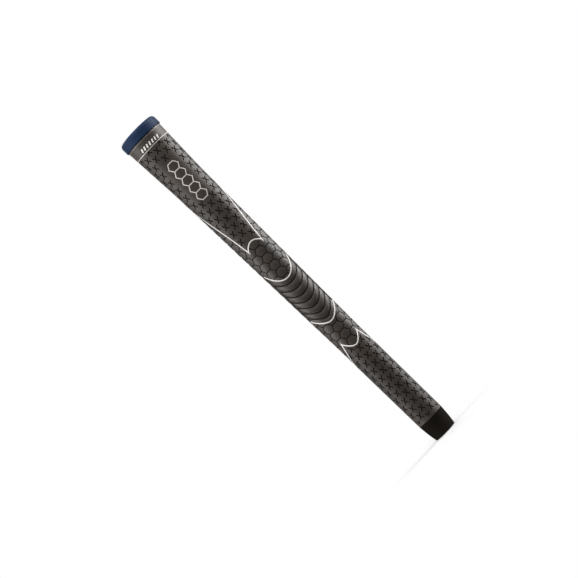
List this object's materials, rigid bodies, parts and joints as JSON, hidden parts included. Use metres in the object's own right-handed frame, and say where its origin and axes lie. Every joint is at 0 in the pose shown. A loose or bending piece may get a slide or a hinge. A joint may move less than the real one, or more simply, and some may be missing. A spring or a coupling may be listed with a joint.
{
  "type": "golf grip",
  "caption": "Slip-on golf club grip: a tapered, cushioned sleeve in an embossed soft wrap, with a vented butt cap and a tip collar, for pressing onto a shaft.",
  "frame": {"origin": "centre of the mouth's end face, where the shaft goes in", "axes": "+Z along the grip towards the butt cap, -Y towards the printed front, +Y towards the wrap's seam"},
  "size_m": [0.0285, 0.0284, 0.2674],
  "materials": {
    "sleeve_rubber": "matt closed-cell rubber",
    "felt": "grey pressed felt",
    "skin_polymer": "soft tacky polymer, embossed and finely textured, warm charcoal grey",
    "skin_groove": "matt black, in the embossed grooves",
    "print_white": "matt white printed lines",
    "seam_sealer": "dark flexible sealer, satin",
    "cap_blue": "moulded rubber, satin dark blue",
    "collar_black": "moulded rubber, matt black"
  },
  "bodies": {
    "root": {"core_sleeve": "sleeve_rubber", "felt_backing": "felt", "grip_skin": "skin_polymer", "seam_fill": "seam_sealer", "butt_cap": "cap_blue", "tip_collar": "collar_black"}
  },
  "joints": []
}
